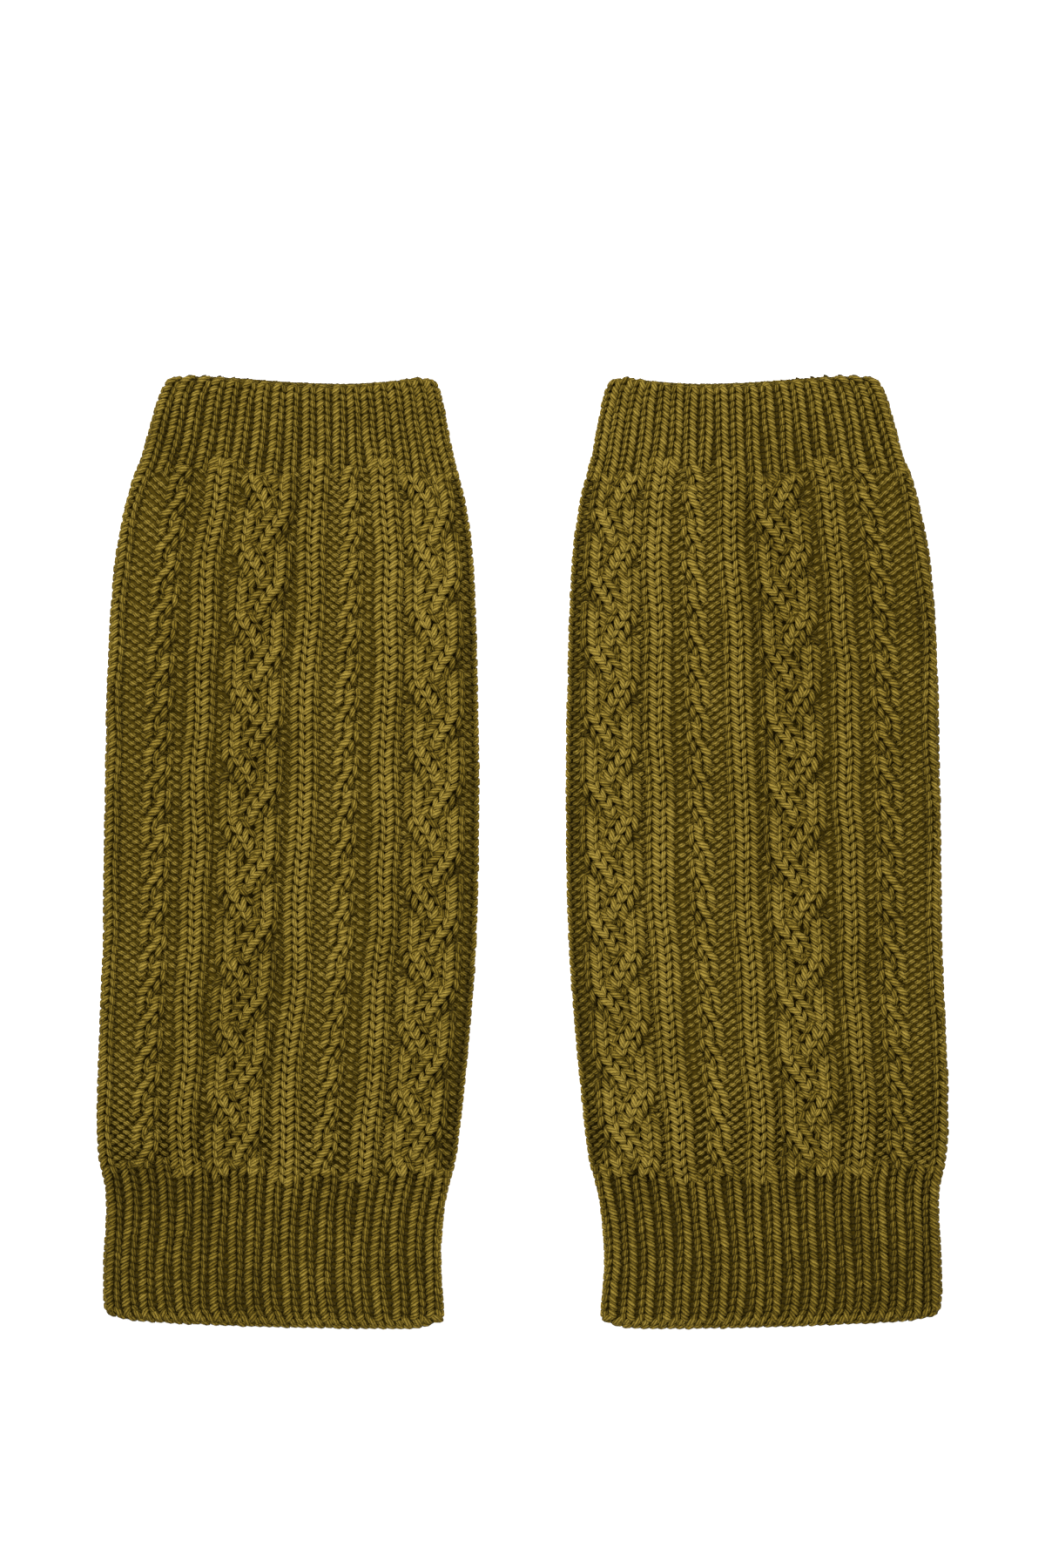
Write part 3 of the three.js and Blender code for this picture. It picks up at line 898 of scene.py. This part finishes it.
def shell_mesh(name, material, mirrored):
    """The cloth's own thin tube under the stitches, open at both ends."""
    rows = np.linspace(0, 1, SHELL_ROWS)
    turns = 2 * math.pi * (np.arange(SHELL_CORNERS) + 0.5) / SHELL_CORNERS
    share = 0.5 - 0.5 * np.sign(np.cos(turns)) * np.abs(np.cos(turns)) ** SHELL_GATHER
    layer = np.where(np.sin(turns) > 0, 1, -1)
    foot = foot_edge(share) + SHELL_END
    top = np.where(layer > 0, top_edge(share, 1), top_edge(share, -1)) - SHELL_END
    along = foot[None, :] + (top - foot)[None, :] * rows[:, None]
    outer, inner = outline_at("outer", along), outline_at("inner", along)
    rings = []
    for face in SHELL_FACES:
        width = outer - inner - 2 * face["inset"]
        x = -(outer - face["inset"] - share * width)
        side = np.minimum(share, 1 - share) * width
        height = np.where(layer > 0, face["front"], face["back"])
        z = MIDDLE + layer * height * round_over(side + SHELL_RIM, SHELL_ROUND)
        rings.append(np.stack([x, along - LENGTH / 2, z], axis=-1))
    outside, inside = rings
    tall, round_count = outside.shape[:2]
    verts = np.concatenate([outside.reshape(-1, 3), inside.reshape(-1, 3)]) * MM
    if mirrored:
        verts[:, 0] *= -1
    shift = tall * round_count
    faces = []
    for j in range(tall - 1):
        for i in range(round_count):
            n = (i + 1) % round_count
            a, b = j * round_count + i, j * round_count + n
            faces.append((a, b, b + round_count, a + round_count))
            faces.append((shift + b, shift + a, shift + a + round_count, shift + b + round_count))
    for i in range(round_count):
        n = (i + 1) % round_count
        last = (tall - 1) * round_count
        faces.append((shift + i, shift + n, n, i))
        faces.append((last + i, last + n, shift + last + n, shift + last + i))
    if not mirrored:
        faces = [tuple(reversed(face)) for face in faces]
    mesh = bpy.data.meshes.new(name)
    mesh.from_pydata([tuple(v) for v in verts], [], faces)
    mesh.polygons.foreach_set("use_smooth", np.ones(len(faces), bool))
    mesh.update()
    return wool_piece(name, mesh, material)


class Nodes:
    """A short way to add shader nodes and join them."""

    def __init__(self, name):
        self.material = bpy.data.materials.new(name)
        self.material.use_nodes = True
        self.tree = self.material.node_tree
        self.shader = self.tree.nodes["Principled BSDF"]

    def add(self, kind, inputs=(), **settings):
        node = self.tree.nodes.new("ShaderNode" + kind)
        for key, value in settings.items():
            setattr(node, key, value)
        for key, value in dict(inputs).items():
            if hasattr(value, "is_output"):
                self.tree.links.new(value, node.inputs[key])
            else:
                node.inputs[key].default_value = value
        return node

    def math(self, operation, a, b=0.0, c=0.0):
        return self.add("Math", {0: a, 1: b, 2: c}, operation=operation).outputs[0]

    def blend(self, factor, a, b, mode="MIX"):
        node = self.add("Mix", data_type="RGBA", blend_type=mode)
        for socket, value in ((node.inputs[0], factor), (node.inputs[6], a), (node.inputs[7], b)):
            if hasattr(value, "is_output"):
                self.tree.links.new(value, socket)
            else:
                socket.default_value = value
        return node.outputs[2]

    def link(self, output, socket):
        self.tree.links.new(output, self.shader.inputs[socket])


# The yarn's colours, darkest in the gaps between its plies and in its painted shade, and those of
# the shaded cloth under it
WOOL_LIGHT = (0.40, 0.285, 0.048, 1)
WOOL_MID = (0.215, 0.144, 0.013, 1)
WOOL_DARK = (0.05, 0.031, 0.001, 1)
GROUND_LIGHT = (0.10, 0.066, 0.006, 1)
GROUND_DARK = (0.045, 0.029, 0.0015, 1)

# The yarn: its map's length for each millimetre, its plies round it, the fibres in each and what turns
# them: a unit along the map, each stitch's own shade and the fuzz
MAP_SCALE = 0.1
PLIES = 5.5
FIBRES = 4
PLY_TURN = {"map": 4.4, "stitch": 0.31, "fuzz": 0.55}

# What each thing adds to the yarn's tone, from dark to light, and to its height. The last, the
# painted shade, darkens it.
TONE = {"base": 0.26, "ply": 0.75, "fibres": 0.08, "fuzz": 0.9, "patch": 0.5, "stitch": 0.06,
        "painted_shade": -0.36}
RELIEF = {"fuzz": 0.3, "fibres": 0.08}


def wool_yarn():
    """Plied olive yarn: slanting plies, fine fibres, painted shade where it tucks under its neighbours.
    """
    n = Nodes("olive_wool_yarn")
    place = n.add("SeparateXYZ", {0: n.add("UVMap", uv_map="Yarn").outputs[0]})
    spot = n.add("TexCoord").outputs["Object"]
    fuzz = n.add("TexNoise", {"Vector": spot, "Scale": 1100.0, "Detail": 3.0, "Roughness": 0.6})
    patch = n.add("TexNoise", {"Vector": spot, "Scale": 26.0, "Detail": 2.0})
    shade = n.add("Attribute", attribute_name="shade").outputs["Fac"]
    painted_shade = n.add("Attribute", attribute_name="painted_shade").outputs["Fac"]

    around = n.math("MULTIPLY", place.outputs["X"], PLIES)
    turned = n.math("MULTIPLY_ADD", place.outputs["Y"], PLY_TURN["map"], around)
    turned = n.math("MULTIPLY_ADD", shade, PLY_TURN["stitch"], turned)
    rough = n.math("SUBTRACT", fuzz.outputs[0], 0.5)
    turned = n.math("MULTIPLY_ADD", rough, PLY_TURN["fuzz"], turned)
    ply = n.math("ABSOLUTE", n.math("SINE", n.math("MULTIPLY", turned, math.pi)))
    fibres = n.math("SINE", n.math("MULTIPLY", turned, FIBRES * 2 * math.pi))

    tone = n.math("MULTIPLY_ADD", ply, TONE["ply"], TONE["base"])
    tone = n.math("MULTIPLY_ADD", fibres, TONE["fibres"], tone)
    tone = n.math("MULTIPLY_ADD", rough, TONE["fuzz"], tone)
    tone = n.math("MULTIPLY_ADD", n.math("SUBTRACT", patch.outputs[0], 0.5), TONE["patch"], tone)
    tone = n.math("MULTIPLY_ADD", shade, TONE["stitch"], tone)
    # Painted shade: darker by the painted shade stored at each point
    tone = n.math("MULTIPLY_ADD", painted_shade, TONE["painted_shade"], tone)
    ramp = n.add("ValToRGB", {0: tone})
    ramp.color_ramp.elements[0].color = WOOL_DARK
    ramp.color_ramp.elements[1].color = WOOL_LIGHT
    middle = ramp.color_ramp.elements.new(0.5)
    middle.color = WOOL_MID
    n.link(ramp.outputs[0], "Base Color")

    height = n.math("MULTIPLY_ADD", fuzz.outputs[0], RELIEF["fuzz"], ply)
    height = n.math("MULTIPLY_ADD", fibres, RELIEF["fibres"], height)
    bump = n.add("Bump", {"Height": height, "Strength": 1.0, "Distance": 0.0009})
    n.link(bump.outputs[0], "Normal")
    n.shader.inputs["Roughness"].default_value = 0.95
    n.shader.inputs["Specular IOR Level"].default_value = 0.06
    n.shader.inputs["Sheen Weight"].default_value = 0.12
    n.shader.inputs["Sheen Roughness"].default_value = 0.5
    n.shader.inputs["Sheen Tint"].default_value = (0.7, 0.55, 0.12, 1)
    return n.material


def wool_ground():
    """The shaded inside of the cloth between the stitches."""
    n = Nodes("olive_wool_ground")
    spot = n.add("TexCoord").outputs["Object"]
    knots = n.add("TexVoronoi", {"Vector": spot, "Scale": 420.0})
    fuzz = n.add("TexNoise", {"Vector": spot, "Scale": 900.0, "Detail": 3.0})
    fine = n.math("MULTIPLY", fuzz.outputs[0], 0.4)
    tone = n.math("MULTIPLY_ADD", knots.outputs["Distance"], 0.7, fine)
    ramp = n.add("ValToRGB", {0: tone})
    ramp.color_ramp.elements[0].color = GROUND_LIGHT
    ramp.color_ramp.elements[1].color = GROUND_DARK
    n.link(ramp.outputs[0], "Base Color")
    bump = n.add("Bump", {"Height": tone, "Strength": 0.8, "Distance": 0.001})
    bump.invert = True
    n.link(bump.outputs[0], "Normal")
    n.shader.inputs["Roughness"].default_value = 0.95
    n.shader.inputs["Specular IOR Level"].default_value = 0.03
    return n.material


def leg_warmer(side, yarn, ground):
    """Builds one leg warmer's pieces and hides its imported parts."""
    mirrored = side == "right"
    rng = np.random.default_rng(SEEDS[side])
    front_ribs, front_cables = body_knit(1, rng, LEG_RINGS)
    back_ribs, back_cables = body_knit(-1, rng, BACK_LEG_RINGS)
    cuff_ribs, cuff_valleys = cuff_stitches(1, rng, LEG_RINGS, BUMP_RINGS)
    back_cuff_ribs, back_cuff_valleys = cuff_stitches(-1, rng, BACK_LEG_RINGS, BACK_BUMP_RINGS)
    groups = {
        "ribs": (front_ribs + fold_stitches(rng, LEG_RINGS), FRONT_CORNERS),
        "cables": (front_cables, FRONT_CORNERS),
        "purl_ground": (body_purl(1, rng, BUMP_RINGS), GROUND_CORNERS),
        "cuffs": (cuff_ribs + cuff_valleys, FRONT_CORNERS),
        "open_ends": (open_ends(rng), GROUND_CORNERS),
        "underside_ribs": (back_ribs + back_cables, BACK_CORNERS),
        "underside_cuffs": (back_cuff_ribs + back_cuff_valleys, BACK_CORNERS),
        "underside_ground": (body_purl(-1, rng, BACK_BUMP_RINGS), BACK_CORNERS),
    }
    stitches = [
        yarn_mesh(f"{side}_{name}", runs, corners, yarn, mirrored)
        for name, (runs, corners) in groups.items()
    ]
    shell = shell_mesh(f"{side}_tube", ground, mirrored)
    nodes = [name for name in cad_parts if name.startswith(side + "_")]
    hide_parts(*nodes)
    rows = np.linspace(0, LENGTH, 200)
    tube_area = 2 * float(np.mean(width_at(rows))) * LENGTH * MM * MM
    widest = 2 * float(np.max(width_at(rows))) * MM


def floor_and_light():
    """A plain white floor, an even sky and two broad lamps."""
    mesh = bpy.data.meshes.new("floor")
    far, low = 4.0, -0.0004
    mesh.from_pydata([(-far, -far, low), (far, -far, low), (far, far, low), (-far, far, low)], [],
                     [(0, 1, 2, 3)])
    floor = bpy.data.objects.new("floor", mesh)
    bpy.context.scene.collection.objects.link(floor)
    white = bpy.data.materials.new("white_floor")
    white.use_nodes = True
    shader = white.node_tree.nodes["Principled BSDF"]
    shader.inputs["Base Color"].default_value = (0.95, 0.95, 0.95, 1)
    shader.inputs["Roughness"].default_value = 0.9
    shader.inputs["Specular IOR Level"].default_value = 0.1
    shader.inputs["Emission Color"].default_value = (1, 1, 1, 1)
    shader.inputs["Emission Strength"].default_value = 0.5
    mesh.materials.append(white)

    world = bpy.data.worlds.new("soft_sky")
    world.use_nodes = True
    sky = world.node_tree.nodes["Background"]
    sky.inputs["Color"].default_value = (1, 1, 1, 1)
    sky.inputs["Strength"].default_value = 0.9
    bpy.context.scene.world = world

    lamps = (
        ("key_lamp", (-0.9, 1.3, 1.5), 0.8, 33.0),
        ("fill_lamp", (1.1, 0.5, 1.6), 1.2, 8.0),
    )
    for name, place, size, power in lamps:
        data = bpy.data.lights.new(name, "AREA")
        data.size = size
        data.energy = power
        lamp = bpy.data.objects.new(name, data)
        lamp.location = place
        direction = -np.array(place)
        lamp.rotation_euler = (
            math.acos(-direction[2] / np.linalg.norm(direction)),
            0,
            math.atan2(direction[1], direction[0]) - math.pi / 2,
        )
        bpy.context.scene.collection.objects.link(lamp)


def camera():
    """Straight down from above, framed as the photograph is."""
    data = bpy.data.cameras.new("camera")
    data.lens = 100.0
    data.sensor_width = 36.0
    view = bpy.data.objects.new("camera", data)
    frame_height = 0.6246
    middle_y = 0.0269
    cloth_height = 0.006
    view.location = (0, middle_y, cloth_height + frame_height * data.lens / data.sensor_width)
    bpy.context.scene.collection.objects.link(view)
    bpy.context.scene.camera = view


bpy.context.scene.view_settings.view_transform = "Standard"
camera()
floor_and_light()
yarn_material = wool_yarn()
ground_material = wool_ground()
for leg in ("left", "right"):
    leg_warmer(leg, yarn_material, ground_material)
